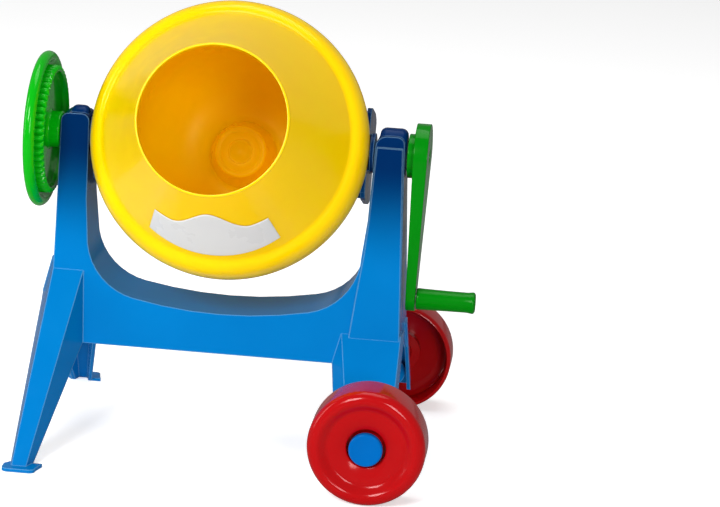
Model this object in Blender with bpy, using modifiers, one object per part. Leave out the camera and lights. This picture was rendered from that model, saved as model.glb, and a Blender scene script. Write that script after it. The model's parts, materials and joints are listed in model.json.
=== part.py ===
"""Toy cement mixer: stand, tilting yoke with geared drum, hand wheel, crank and two road wheels.

Frame: +Z up, the drum's mouth faces -Y, the crank is at +X and the hand wheel at -X.
The origin is on the ground, below the middle of the whole object.
"""
import math
from itertools import combinations

import bmesh
import bpy
from mathutils import Matrix, Vector

MM = 0.001
GAP = 0.3 * MM                   # free space between pieces that touch or are pressed together
RUNNING = 0.3 * MM               # radial play of a turning fit

# Driving dimensions
CENTRE_X = 19.4 * MM             # middle of the whole object, measured from the drum's axis
AXIS_H = 209.2 * MM              # tilt axis above the ground
MOUTH_UP = math.radians(20.5)    # the drum's axis above level at rest
RIM_R = 94.6 * MM                # drum at its widest
MOUTH_R = 48.2 * MM              # inside the mouth's lip
MOUTH_Z = 101.5 * MM             # lip's distance from the tilt axis, along the drum's axis
DRUM_WALL = 2.2 * MM
FRAME_WALL = 2.6 * MM
TRUNNION_R = 8.6 * MM
HAND_R = 53.2 * MM
WHEEL_R = 39.0 * MM
WHEEL_W = 30.8 * MM
WHEEL_IN = 91.0 * MM             # inner faces of the road wheels, from the middle
WHEEL_FACE = WHEEL_IN + WHEEL_W
PINION_TEETH = 8
CROWN_TEETH = 76
CROWN_R = RIM_R - 9.1 * MM       # the crown gear's pitch radius
PITCH_R = CROWN_R * PINION_TEETH / CROWN_TEETH
MODULE = 2 * PITCH_R / PINION_TEETH

# stand
TOP_Z = AXIS_H + 14.4 * MM       # uprights' flat top edge
HEAD_Z = AXIS_H - 14.2 * MM      # the uprights are solid above this height
UNDER_Z = 67.3 * MM              # lower edge of the cross beam
BEAM_Z = 94.6 * MM               # top of the cross beam at the middle
CORNER_R = 42.0 * MM             # curve between beam and upright
CORNER_X = RIM_R - 42.6 * MM
CORNER_Z = BEAM_Z + 47.4 * MM
SAG_R = 290.0 * MM
SIDE_Z = CORNER_Z + 24.0 * MM    # height where the uprights' inner sides turn into the curve
BUSH_R = TRUNNION_R + 1.8 * MM   # bores for the bearing bushes
FACE_AT_BEAM = 24.6 * MM         # half depth of the stand at BEAM_Z
FACE_AT_AXIS = BUSH_R + 2.05 * MM
FACE_SLOPE = (FACE_AT_BEAM - FACE_AT_AXIS) / (AXIS_H - BEAM_Z)
LEFT_IN = -(RIM_R + 2.0 * MM)
RIGHT_IN = RIM_R + 4.0 * MM
LEFT_OUT = (LEFT_IN - 19.3 * MM, LEFT_IN - 20.3 * MM)      # outer side, at the top and the bottom
RIGHT_OUT = (RIGHT_IN + 19.6 * MM, RIGHT_IN + 25.6 * MM)
WHEEL_X = RIGHT_OUT[1] - 11.2 * MM
HUMP_R = 18.3 * MM               # rounded hump over each bearing
HUMP_EDGE = 4.2 * MM
PILASTER_STEP = 1.7 * MM         # how far the right upright stands proud of the beam
PILASTER_LOW = 82.0 * MM
PILASTER = ((RIGHT_IN - 10.1 * MM, PILASTER_LOW), (RIGHT_OUT[1] - 0.8 * MM, PILASTER_LOW),
            (RIGHT_OUT[0] - 1.0 * MM, AXIS_H + 6.8 * MM), (RIGHT_IN + 1.2 * MM, AXIS_H + 6.8 * MM),
            (RIGHT_IN - 1.0 * MM, SIDE_Z), (RIGHT_IN - 3.0 * MM, CORNER_Z),
            (RIGHT_IN - 6.8 * MM, CORNER_Z - 30.0 * MM))

# Corners of the front legs in millimetres, X from the upright's outer side: kink line (outer, inner),
# foot (outer, inner), root of the inner side under the beam, a point of the outer skirt, low end of
# the open side.
WHEEL_LEG_Z = WHEEL_R / MM - 15.0
FOOT_LEG = ((0.0, -26.0, 112.0), (20.5, -26.0, 112.0), (-7.0, -107.0, 0.0),
            (2.7, -107.0, 0.0), (23.3, -27.6, 67.3), (-5.7, -27.0, 88.0), (9.6, -98.0, 0.0))
WHEEL_LEG = ((0.0, -26.4, 87.0), (-40.2, -26.4, 87.0), (0.6, -83.1, WHEEL_LEG_Z),
             (-26.4, -83.1, WHEEL_LEG_Z), (-45.7, -27.6, 67.3), (2.3, -5.0, 76.0),
             (-26.2, -64.5, WHEEL_LEG_Z))

# drum
FLANGE_Z = 13.4 * MM             # back of the rear shell's flange
REAR_R = RIM_R - 21.4 * MM       # outside of the rear bowl
BAND_R = 10.6 * MM               # rounding of the drum's widest band
BOTTOM_Z = -63.2 * MM
BOSS_TOP = BOTTOM_Z + 19.2 * MM  # raised boss in the middle of the drum's bottom
BOSS_R = 18.4 * MM
BOSS_BASE_R = 23.4 * MM
AXLE_HOLE = 8.0 * MM             # the drum axle's radius
CREASE = (RIM_R - 11.0 * MM, 32.6 * MM)
BADGE_LOW = 38.0 * MM            # lower edge, along the drum's axis
BADGE_HIGH = 65.0 * MM           # its upper corners
BADGE_ARCH = 17.0 * MM
BADGE_TURN = math.radians(37)    # half of its width round the cone

# yoke
ARM_OUT = RIM_R - 1.6 * MM       # outside of the yoke's side plates
ARM_T = 3.2 * MM
ARM_HALF = 31.5 * MM
DISC_IN = RIM_R + 0.35 * MM      # inner side of the trunnion discs, clear of the drum's rim
BACK_Z = BOTTOM_Z - 12.3 * MM    # rear face of the yoke's back

# hand wheel
KEY = 5.2 * MM                   # half width of the square drive
HAND_X = LEFT_OUT[0] - 17.7 * MM  # outer face
RIDGES = 54
HAND_SEAT = 3.4 * MM             # seat of the screw, in from the outer face
DISH = 7.6 * MM                  # inner side of the dish, from the outer face
DISH_T = 2.4 * MM
RING_OUT = HAND_R - 10.3 * MM    # ridged grip ring
RING_IN = RING_OUT - 3.7 * MM
RING_TOP = 12.4 * MM

# crank and knob
SHAFT_R = 3.7 * MM
ARM_X = RIGHT_OUT[0] + 6.8 * MM  # inner face of the crank's arm
ARM_THICK = 9.6 * MM
ARM_TAPER = 3.2 * MM             # how much thinner the arm is at the knob
ARM_LONG = 97.5 * MM             # from the shaft to the knob's pin
KNOB_END = ARM_X + 47.4 * MM
CRANK_SWING = math.radians(-4.5)
SHAFT_FLAT = SHAFT_R - 0.9 * MM
PIN_R = 3.0 * MM

# road wheels and axle
AXLE_R = 4.0 * MM
CAP_R = 11.2 * MM

# colours
BLUE = (0.0, 0.23, 0.66, 1.0)
YELLOW = (0.95, 0.62, 0.0, 1.0)
ORANGE = (0.93, 0.42, 0.0, 1.0)
GREEN = (0.0, 0.33, 0.02, 1.0)
RED = (0.72, 0.01, 0.02, 1.0)
STEEL = (0.62, 0.62, 0.64, 1.0)
WHITE = (0.85, 0.85, 0.83, 1.0)


# ---------------------------------------------------------------- helpers

def clear_scene():
    for item in list(bpy.data.objects):
        bpy.data.objects.remove(item, do_unlink=True)


def collection(name):
    made = bpy.data.collections.new(name)
    bpy.context.scene.collection.children.link(made)
    return made


def material(name, colour, roughness=0.2, metallic=0.0):
    made = bpy.data.materials.new(name)
    made.use_nodes = True
    shader = made.node_tree.nodes["Principled BSDF"]
    shader.inputs["Base Color"].default_value = colour
    shader.inputs["Roughness"].default_value = roughness
    shader.inputs["Metallic"].default_value = metallic
    return made


def add(name, mesh, where, parent=None, mat=None):
    made = bpy.data.objects.new(name, mesh)
    where.objects.link(made)
    made.parent = parent
    if mat:
        mesh.materials.append(mat)
    return made


def empty(name, where, location, tilt=0.0):
    made = bpy.data.objects.new(name, None)
    where.objects.link(made)
    made.location = location
    made.rotation_euler.x = tilt
    return made


def smooth(item, angle=35):
    item.data.shade_smooth()
    item.data.set_sharp_from_angle(angle=math.radians(angle))
    return item


def finished(item):
    """The object's mesh with its modifiers applied, for shapes that later booleans use."""
    bpy.context.view_layer.update()
    graph = bpy.context.evaluated_depsgraph_get()
    mesh = bpy.data.meshes.new_from_object(item.evaluated_get(graph))
    item.modifiers.clear()
    item.data = mesh
    return item


def arc(centre, radius, start, stop, count, radius_b=None):
    """Points on an arc or ellipse, from start to stop degrees."""
    other = radius if radius_b is None else radius_b
    points = []
    for step in range(count + 1):
        turn = math.radians(start + (stop - start) * step / count)
        points.append((centre[0] + radius * math.cos(turn), centre[1] + other * math.sin(turn)))
    return points


def turned(name, profile, where, parent=None, mat=None, steps=64, axis="Z", closed=True):
    """A profile of (radius, height) points turned about an axis; its outer side runs downward."""
    mesh = bpy.data.meshes.new(name)
    edges = [(i, i + 1) for i in range(len(profile) - 1)]
    if closed:
        edges.append((len(profile) - 1, 0))
    mesh.from_pydata([(r, 0.0, z) for r, z in profile], edges, [])
    item = add(name, mesh, where, parent, mat)
    screw = item.modifiers.new("Turn", "SCREW")
    screw.axis = "Z"
    screw.steps = steps
    screw.render_steps = steps
    screw.use_merge_vertices = True
    screw.merge_threshold = 0.00001
    screw.use_smooth_shade = True
    finished(item)
    shell = bmesh.new()
    shell.from_mesh(item.data)
    bmesh.ops.remove_doubles(shell, verts=shell.verts, dist=0.000002)
    bmesh.ops.recalc_face_normals(shell, faces=shell.faces)
    turn = {"X": Matrix.Rotation(math.pi / 2, 4, "Y"), "Y": Matrix.Rotation(-math.pi / 2, 4, "X")}
    if axis in turn:
        bmesh.ops.transform(shell, matrix=turn[axis], verts=shell.verts)
    shell.to_mesh(item.data)
    shell.free()
    return smooth(item)


def rod(name, radius, start, stop, where, parent=None, mat=None, axis="X", sides=48, offset=(0, 0)):
    """A cylinder along an axis from start to stop; offset is its place across that axis."""
    mesh = bpy.data.meshes.new(name)
    body = bmesh.new()
    bmesh.ops.create_cone(body, cap_ends=True, segments=sides, radius1=radius, radius2=radius,
                          depth=stop - start)
    bmesh.ops.translate(body, verts=body.verts, vec=(0, 0, (start + stop) / 2))
    turn = {"X": Matrix.Rotation(math.pi / 2, 4, "Y"), "Y": Matrix.Rotation(-math.pi / 2, 4, "X"),
            "Z": Matrix.Identity(4)}[axis]
    shift = {"X": (0, offset[0], offset[1]), "Y": (offset[0], 0, offset[1]),
             "Z": (offset[0], offset[1], 0)}[axis]
    bmesh.ops.transform(body, matrix=Matrix.Translation(shift) @ turn, verts=body.verts)
    body.to_mesh(mesh)
    body.free()
    return smooth(add(name, mesh, where, parent, mat))


def block(name, low, high, where, parent=None, mat=None):
    """A box between two corners."""
    mesh = bpy.data.meshes.new(name)
    body = bmesh.new()
    bmesh.ops.create_cube(body, size=1.0)
    size = Vector(high) - Vector(low)
    middle = (Vector(high) + Vector(low)) / 2
    bmesh.ops.transform(body, matrix=Matrix.Translation(middle) @ Matrix.Diagonal((*size, 1.0)),
                        verts=body.verts)
    body.to_mesh(mesh)
    body.free()
    return add(name, mesh, where, parent, mat)


def outline(name, loops, half, where, parent=None, mat=None, facing="Z"):
    """Flat outlines, extruded both ways by half; facing is the axis across the outline's plane."""
    curve = bpy.data.curves.new(name, "CURVE")
    curve.dimensions = "2D"
    curve.fill_mode = "BOTH"
    curve.extrude = half
    for loop in loops:
        spline = curve.splines.new("POLY")
        spline.points.add(len(loop) - 1)
        for point, place in zip(spline.points, loop):
            point.co = (place[0], place[1], 0.0, 1.0)
        spline.use_cyclic_u = True
    item = bpy.data.objects.new(name, curve)
    where.objects.link(item)
    bpy.context.view_layer.update()
    graph = bpy.context.evaluated_depsgraph_get()
    mesh = bpy.data.meshes.new_from_object(item.evaluated_get(graph))
    bpy.data.objects.remove(item, do_unlink=True)
    body = bmesh.new()
    body.from_mesh(mesh)
    bmesh.ops.remove_doubles(body, verts=body.verts, dist=0.000002)
    turn = {"X": Matrix(((0, 0, 1, 0), (1, 0, 0, 0), (0, 1, 0, 0), (0, 0, 0, 1))),
            "Y": Matrix(((1, 0, 0, 0), (0, 0, -1, 0), (0, 1, 0, 0), (0, 0, 0, 1))),
            "Z": Matrix.Identity(4)}[facing]
    bmesh.ops.transform(body, matrix=turn, verts=body.verts)
    bmesh.ops.recalc_face_normals(body, faces=body.faces)
    body.to_mesh(mesh)
    body.free()
    return add(name, mesh, where, parent, mat)


def hull_of_planes(name, planes, where):
    """The convex solid inside planes, each given as (point, outward normal)."""
    corners = []
    for trio in combinations(planes, 3):
        normals = Matrix([plane[1].normalized() for plane in trio])
        if abs(normals.determinant()) < 1e-6:
            continue
        reach = Vector([plane[1].normalized().dot(plane[0]) for plane in trio])
        corner = normals.inverted() @ reach
        if all(plane[1].normalized().dot(corner - plane[0]) < 1e-7 for plane in planes):
            corners.append(corner)
    body = bmesh.new()
    for corner in corners:
        body.verts.new(corner)
    bmesh.ops.remove_doubles(body, verts=body.verts, dist=0.00001)
    bmesh.ops.convex_hull(body, input=body.verts)
    bmesh.ops.dissolve_limit(body, angle_limit=math.radians(0.5), verts=body.verts, edges=body.edges)
    bmesh.ops.recalc_face_normals(body, faces=body.faces)
    mesh = bpy.data.meshes.new(name)
    body.to_mesh(mesh)
    body.free()
    return add(name, mesh, where)


def triangles(item):
    """Split the faces into triangles, which stay flat where long outlines would not."""
    body = bmesh.new()
    body.from_mesh(item.data)
    bmesh.ops.triangulate(body, faces=body.faces)
    body.to_mesh(item.data)
    body.free()
    return item


def flattened(item):
    """Join the triangles that lie in one plane, as far as the solid stays closed."""
    for angle in (0.3, 0.1, 0.05, 0.03, 0.02, 0.01):
        for merge in (0.000001, 0.0000001, 0.0):
            body = bmesh.new()
            body.from_mesh(item.data)
            bmesh.ops.remove_doubles(body, verts=body.verts, dist=merge)
            bmesh.ops.dissolve_limit(body, angle_limit=math.radians(angle), verts=body.verts,
                                     edges=body.edges)
            bmesh.ops.triangulate(body, faces=body.faces)
            closed = all(edge.is_manifold for edge in body.edges)
            if closed:
                body.to_mesh(item.data)
            body.free()
            if closed:
                return item
    return item


def combine(target, tools, operation, split=False):
    """Boolean of the target with each tool in turn; the tools stay as hidden wire guides.

    With split, every face is cut into triangles first, for solids whose long faces lean.
    """
    for tool in tools:
        if split:
            triangles(target)
            triangles(tool)
        tool.parent = target.parent
        tool.hide_render = True
        tool.display_type = "WIRE"
        change = target.modifiers.new(operation.title(), "BOOLEAN")
        change.operation = operation
        change.solver = "MANIFOLD" if split else "EXACT"
        change.object = tool
        finished(target)
    return target


def bevel(item, width, segments=2, angle=40):
    change = item.modifiers.new("Edges", "BEVEL")
    change.width = width
    change.segments = segments
    change.limit_method = "ANGLE"
    change.angle_limit = math.radians(angle)
    change.harden_normals = False
    return item


# ---------------------------------------------------------------- stand

def half_depth(z):
    return FACE_AT_BEAM - (z - BEAM_Z) * FACE_SLOPE


def stand_outline(inset, low):
    """Goal-post outline of the stand, in X and Z, set in by inset and ending at height low."""
    top = HEAD_Z if inset else TOP_Z
    radius = 5.0 * MM - min(inset, 2.5 * MM)
    out_r = RIGHT_OUT[0] - inset
    in_r = RIGHT_IN + inset
    out_l = LEFT_OUT[0] + inset
    in_l = LEFT_IN - inset
    curve_r = CORNER_R + inset
    sag = SAG_R + inset
    points = [(RIGHT_OUT[1] - inset, low)]
    points += arc((out_r - radius, top - radius), radius, 0, 90, 4)
    wide = radius + (0.0 if inset else 2.5 * MM)
    points += arc((in_r + wide, top - wide), wide, 90, 180, 4)
    points.append((in_r - 2.0 * MM, SIDE_Z))
    points += arc((CORNER_X, CORNER_Z), curve_r, 0, -78.3, 9)
    sweep = math.degrees(math.asin((CORNER_X + curve_r * math.cos(math.radians(78.3))) / sag))
    points += arc((0.0, BEAM_Z + SAG_R), sag, -90 + sweep, -90 - sweep, 6)[1:-1]
    points += arc((-CORNER_X, CORNER_Z), curve_r, -101.7, -180, 9)
    points.append((in_l + 0.8 * MM, SIDE_Z))
    points += arc((in_l - radius, top - radius), radius, 0, 90, 4)
    points += arc((out_l + radius, top - radius), radius, 90, 180, 4)
    points.append((LEFT_OUT[1] + inset, low))
    return points


def stand_body(name, inset, low, where):
    """The stand without its legs; its front and back lean together toward the top."""
    reach = 10 * MM
    item = outline(name, [stand_outline(inset, low)], reach, where, facing="Y")
    for vertex in item.data.vertices:
        vertex.co.y *= (half_depth(vertex.co.z) - inset) / reach
    return item


def plane_through(a, b, c, inside):
    """(point, outward normal) of the plane through three points, facing away from inside."""
    a, b, c, inside = (Vector(p) * MM for p in (a, b, c, inside))
    normal = (b - a).cross(c - a).normalized()
    if normal.dot(inside - a) > 0:
        normal.negate()
    return a, normal


def leg_planes(corners, inside, foot_z, top_z):
    """Web, inner side, outer side, open side, foot and top of a front leg."""
    kink_out, kink_in, foot_out, foot_in, root, skirt, open_low = corners
    across = (open_low[0] + 10, open_low[1], open_low[2])
    planes = [plane_through(kink_out, kink_in, foot_in, inside),
              plane_through(kink_in, foot_in, root, inside),
              plane_through(kink_out, foot_out, skirt, inside),
              plane_through(root, open_low, across, inside)]
    planes.append((Vector((0, 0, foot_z * MM)), Vector((0, 0, -1))))
    planes.append((Vector((0, 0, top_z * MM)), Vector((0, 0, 1))))
    planes.append((Vector((0, 1 * MM, 0)), Vector((0, 1, 0))))
    return planes


def leg(name, corners, inside, foot_z, top_z, where, inset=0.0):
    planes = leg_planes(corners, inside, foot_z, top_z)
    if inset:
        moves = (-inset, -inset, -inset, 6 * MM, 6 * MM, -inset, 0.0)
        planes = [(p + n * move, n) for (p, n), move in zip(planes, moves)]
    return hull_of_planes(name, planes, where)


def flipped(item):
    """Mirror a mesh across the middle plane, keeping its faces outward."""
    body = bmesh.new()
    body.from_mesh(item.data)
    bmesh.ops.scale(body, vec=(1, -1, 1), verts=body.verts)
    bmesh.ops.reverse_faces(body, faces=body.faces)
    mesh = bpy.data.meshes.new(item.name)
    body.to_mesh(mesh)
    body.free()
    item.data = mesh
    return item


def foot_plate(name, side, where):
    """The flat lip round the bottom of a foot."""
    low_x, high_x = LEFT_OUT[1] - 12.7 * MM, LEFT_OUT[1] + 9.9 * MM
    front, back = 112.0 * MM, 97.5 * MM
    r = 4.0 * MM
    points = [(high_x + 2.4 * MM, back), (high_x, front - 6 * MM)]
    points += arc((high_x - r, front - r), r, 20, 90, 3)
    points += arc((low_x + r, front - r), r, 90, 180, 4)
    points += [(low_x, back + 4 * MM), (low_x + 3 * MM, back)]
    points = [(x, side * y) for x, y in points]
    item = outline(name, [points], 1.2 * MM, where)
    item.location.z = 1.2 * MM
    bpy.context.view_layer.update()
    item.data.transform(item.matrix_basis)
    item.location.z = 0.0
    return item


def make_stand(parts, cutters, root, blue):
    stand = stand_body("frame", 0.0, UNDER_Z, parts)
    stand.parent = root
    stand.data.materials.append(blue)
    added, removed = [], [stand_body("frame_hollow", FRAME_WALL, UNDER_Z - 4 * MM, cutters)]
    for x0, x1, flat, label in ((LEFT_OUT[0] + 4.9 * MM, LEFT_IN - 1.6 * MM, 0.61, "left"),
                                (RIGHT_IN + 2.0 * MM, RIGHT_OUT[0] + 1.3 * MM, 0.67, "right")):
        r = HUMP_EDGE
        profile = [(0.0, x1)] + arc((HUMP_R - r, x1 - r), r, 90, 0, 4)
        profile += arc((HUMP_R - r, x0 + r), r, 0, -90, 4) + [(0.0, x0)]
        hump = turned(f"hump_{label}", profile, cutters, steps=36, axis="X", closed=False)
        hump.data.transform(Matrix.Translation((0, 0, AXIS_H)) @ Matrix.Diagonal((1, flat, 1, 1)))
        added.append(hump)
    reach = 10 * MM
    pilaster = outline("pilaster", [PILASTER], reach, cutters, facing="Y")
    for vertex in pilaster.data.vertices:
        vertex.co.y *= (half_depth(vertex.co.z) + PILASTER_STEP) / reach
    added.append(pilaster)
    for side, label in ((1, "front"), (-1, "rear")):
        for offsets, edge, middle, foot_z, top_z, kind in (
                (FOOT_LEG, LEFT_OUT[1] / MM, (6.9, -60.0, 60.0), 0.0, 120.0, "foot"),
                (WHEEL_LEG, RIGHT_OUT[1] / MM, (-16.2, -50.0, 55.0), WHEEL_LEG_Z, 89.0, "wheel")):
            corners = [(edge + x, y, z) for x, y, z in offsets]
            inside = (edge + middle[0], middle[1], middle[2])
            outer = leg(f"leg_{kind}_{label}", corners, inside, foot_z, top_z, cutters)
            inner = leg(f"leg_hollow_{kind}_{label}", corners, inside, foot_z, top_z, cutters,
                        FRAME_WALL)
            if side < 0:
                flipped(outer)
                flipped(inner)
            added.append(outer)
            removed.append(inner)
        added.append(foot_plate(f"foot_plate_{label}", -side, cutters))
    combine(stand, added, "UNION", split=True)
    ends = ((LEFT_OUT[1] - 33.1 * MM, LEFT_OUT[1] + 5.9 * MM, 90.3 * MM, "left"),
            (RIGHT_OUT[1] - 13.2 * MM, RIGHT_OUT[1] + 25.8 * MM, 76.6 * MM, "right"))
    for x0, x1, apex, label in ends:
        arch = outline(f"arch_{label}", [[(-33 * MM, 61 * MM), (33 * MM, 61 * MM),
                                          (5 * MM, apex), (-5 * MM, apex)]], (x1 - x0) / 2, cutters,
                       facing="X")
        arch.data.transform(Matrix.Translation(((x0 + x1) / 2, 0, 0)))
        removed.append(arch)
    combine(stand, removed, "DIFFERENCE", split=True)
    tubes, bores = [], []
    for x0, x1, label in ((LEFT_OUT[0] + 0.8 * MM, LEFT_IN - 0.8 * MM, "left"),
                          (RIGHT_IN + 0.8 * MM, RIGHT_OUT[0] - 0.8 * MM, "right")):
        bores.append(rod(f"bearing_bore_{label}", BUSH_R, x0 - 20 * MM, x1 + 20 * MM, cutters,
                         offset=(0, AXIS_H)))
    for side, label in ((-1, "front"), (1, "rear")):
        near, far = sorted((side * (WHEEL_IN - 35 * MM), side * (WHEEL_IN - 3 * MM)))
        tubes.append(rod(f"axle_boss_{label}", AXLE_R + 5.5 * MM, near, far, cutters, axis="Y", sides=32,
                         offset=(WHEEL_X, WHEEL_R)))
        bores.append(rod(f"axle_bore_{label}", AXLE_R + GAP, near - 20 * MM, far + 20 * MM, cutters,
                         axis="Y", sides=32, offset=(WHEEL_X, WHEEL_R)))
    combine(stand, tubes, "UNION", split=True)
    combine(stand, bores, "DIFFERENCE", split=True)
    flattened(stand)
    smooth(stand, 30)
    return stand


# ---------------------------------------------------------------- drum (local +Z toward its mouth)

def front_profile():
    lip = 1.1 * MM
    outer = arc((MOUTH_R + lip, MOUTH_Z - lip), lip, 90, -20, 2)
    outer += [(MOUTH_R + 2.6 * MM, MOUTH_Z - 2.6 * MM), CREASE]
    band = arc((RIM_R - BAND_R, 14.0 * MM), BAND_R, 90, 0, 5, 18.0 * MM)
    outer += band[1:]
    outer.append((RIM_R - 0.3 * MM, 4.6 * MM))
    inner = [(RIM_R - DRUM_WALL - 0.3 * MM, 4.6 * MM), (RIM_R - DRUM_WALL, 14.0 * MM)]
    inner += [(r - DRUM_WALL * 0.7, z - DRUM_WALL * 0.6) for r, z in reversed(band[1:-1])]
    inner += [(CREASE[0] - DRUM_WALL, CREASE[1] - 0.8 * MM), (MOUTH_R, MOUTH_Z - 3.0 * MM)]
    return outer + inner


def rear_profile():
    out_r, back = REAR_R, -20.0 * MM
    bowl = arc((26.0 * MM, back), out_r - 26.0 * MM, 0, -90, 7, back - BOTTOM_Z)
    inside = arc((25.0 * MM, back), out_r - DRUM_WALL - 25.0 * MM, -90, 0, 7,
                 back - BOTTOM_Z - DRUM_WALL)
    top = FLANGE_Z + DRUM_WALL
    points = [(0.0, BOSS_TOP), (8.0 * MM, BOSS_TOP), (9.0 * MM, BOSS_TOP + 0.6 * MM),
              (BOSS_R - 1.4 * MM, BOSS_TOP + 0.6 * MM), (BOSS_R, BOSS_TOP - 0.6 * MM),
              (BOSS_BASE_R, BOTTOM_Z + DRUM_WALL)]
    points += inside[1:]
    points += [(out_r - DRUM_WALL, top), (RIM_R - DRUM_WALL - 3 * GAP, top),
               (RIM_R - DRUM_WALL - 3 * GAP, FLANGE_Z), (out_r, FLANGE_Z)]
    points += bowl
    tube = AXLE_HOLE + GAP + DRUM_WALL
    roof = BOSS_TOP - 2.6 * MM
    points += [(BOSS_BASE_R - DRUM_WALL, BOTTOM_Z), (BOSS_R - DRUM_WALL, roof), (tube, roof),
               (tube, BOTTOM_Z),
               (AXLE_HOLE + GAP, BOTTOM_Z), (AXLE_HOLE + GAP, roof), (0.0, roof)]
    return points


def crown_gear(name, where, parent, mat):
    """A ring with radial teeth on its back face; a gap between teeth faces the pinion."""
    inner, outer = CROWN_R - 4.4 * MM, CROWN_R + 4.4 * MM
    seat = FLANGE_Z - GAP
    root, tip = PITCH_R + 0.98 * MODULE, PITCH_R - 0.755 * MODULE
    pitch = 2 * math.pi / CROWN_TEETH
    shares = ((0.29, root), (0.37, tip), (0.63, tip), (0.71, root))
    body = bmesh.new()
    rings = []
    for tooth in range(CROWN_TEETH):
        for share, level in shares:
            turn = (tooth + share) * pitch
            ring = []
            for radius, z in ((inner, seat), (outer, seat), (outer, level), (inner, level)):
                ring.append(body.verts.new((radius * math.cos(turn), radius * math.sin(turn), z)))
            rings.append(ring)
    for index, ring in enumerate(rings):
        after = rings[(index + 1) % len(rings)]
        for k in range(4):
            body.faces.new((ring[k], ring[(k + 1) % 4], after[(k + 1) % 4], after[k]))
    bmesh.ops.recalc_face_normals(body, faces=body.faces)
    mesh = bpy.data.meshes.new(name)
    body.to_mesh(mesh)
    body.free()
    return add(name, mesh, where, parent, mat)


def badge(name, where, parent, mat):
    """A thin plain plate with an arched top that lies on the lower side of the front cone."""
    low, top = Vector(CREASE), Vector((MOUTH_R + 2.6 * MM, MOUTH_Z - 2.6 * MM))
    run = (top - low).normalized()
    out = Vector((run.y, -run.x))
    columns, rows = 16, 5
    mesh = bpy.data.meshes.new(name)
    body = bmesh.new()
    grid = []
    for i in range(columns + 1):
        across = -1 + 2 * i / columns
        bump = 0.5 + 0.5 * math.cos(math.pi * min(1.0, abs(across) / 0.72))
        bottom = BADGE_LOW + 4.0 * MM * across ** 2
        crown = BADGE_HIGH + BADGE_ARCH * bump
        column = []
        for j in range(rows + 1):
            z = bottom + (crown - bottom) * j / rows
            radius = low.x + (z - low.y) * run.x / run.y
            turn = -math.pi / 2 + BADGE_TURN * across
            radius, z = radius + out.x * GAP * 1.2, z + out.y * GAP * 1.2
            column.append(body.verts.new((radius * math.cos(turn), radius * math.sin(turn), z)))
        grid.append(column)
    for i in range(columns):
        for j in range(rows):
            body.faces.new((grid[i][j], grid[i + 1][j], grid[i + 1][j + 1], grid[i][j + 1]))
    bmesh.ops.recalc_face_normals(body, faces=body.faces)
    body.to_mesh(mesh)
    body.free()
    item = add(name, mesh, where, parent, mat)
    thick = item.modifiers.new("Plate", "SOLIDIFY")
    thick.thickness = 0.5 * MM
    thick.offset = 1.0
    finished(item)
    outward = sum((p.normal.dot(p.center) * p.area for p in item.data.polygons), 0.0)
    if outward < 0:
        item.data.flip_normals()
    return smooth(item)


def make_drum(parts, hub, mats):
    turned("drum_front", front_profile(), parts, hub, mats["yellow"], steps=56)
    turned("drum_rear", rear_profile(), parts, hub, mats["orange"], steps=40, closed=False)
    crown_gear("crown_gear", parts, hub, mats["yellow"])
    badge("drum_badge", parts, hub, mats["white"])
    end = BACK_Z - 3.6 * MM
    axle = [(0.0, BOSS_TOP - 3.2 * MM), (AXLE_HOLE - 0.8 * MM, BOSS_TOP - 3.2 * MM),
            (AXLE_HOLE, BOSS_TOP - 4.0 * MM), (AXLE_HOLE, end), (2.6 * MM, end),
            (2.6 * MM, end + 16 * MM), (0.0, end + 16 * MM)]
    turned("drum_axle", axle, parts, hub, mats["white"], steps=32, closed=False)
    washer = [(3.2 * MM, end - GAP), (13.0 * MM, end - GAP), (13.0 * MM, end - GAP - 1.6 * MM),
              (3.2 * MM, end - GAP - 1.6 * MM)]
    turned("axle_washer", washer, parts, hub, mats["steel"], steps=24)
    screw("axle_screw", parts, hub, mats["steel"], end - 2 * GAP - 1.6 * MM, 2.3 * MM, 14 * MM)


def screw(name, where, parent, mat, seat, radius, length, axis="Z", facing=-1):
    """A pan head screw; its head sits at seat and points along facing, its shank the other way."""
    head = 2.1 * radius
    step = -facing
    profile = [(0.0, seat + step * length), (radius * 0.7, seat + step * length),
               (radius, seat + step * (length - radius)), (radius, seat),
               (head, seat), (head, seat - step * 1.2 * MM), (head * 0.8, seat - step * 2.4 * MM),
               (head * 0.42, seat - step * 2.6 * MM), (head * 0.36, seat - step * 1.6 * MM),
               (0.0, seat - step * 1.6 * MM)]
    if step < 0:
        profile = list(reversed(profile))
    return turned(name, profile, where, parent, mat, steps=16, axis=axis, closed=False)


# ---------------------------------------------------------------- yoke (local frame of the tilt)

def yoke_strap():
    """Outline of the bent strap in X and Z: side plate, slant and back, one closed loop."""
    outside = [(ARM_OUT, 2.0 * MM), (ARM_OUT, -38.0 * MM)]
    outside += arc((ARM_OUT - 14 * MM, -42 * MM), 14 * MM, 0, -50, 4)[1:]
    outside += [(38 * MM, BACK_Z)]
    inside = [(37 * MM, BACK_Z + ARM_T)]
    inside += arc((ARM_OUT - 14 * MM, -42 * MM), 14 * MM - ARM_T, -50, 0, 4)
    inside += [(ARM_OUT - ARM_T, -38 * MM), (ARM_OUT - ARM_T, 2.0 * MM)]
    left = [(-x, z) for x, z in reversed(outside)]
    left_in = [(-x, z) for x, z in reversed(inside)]
    return outside + left + left_in + inside


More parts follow.
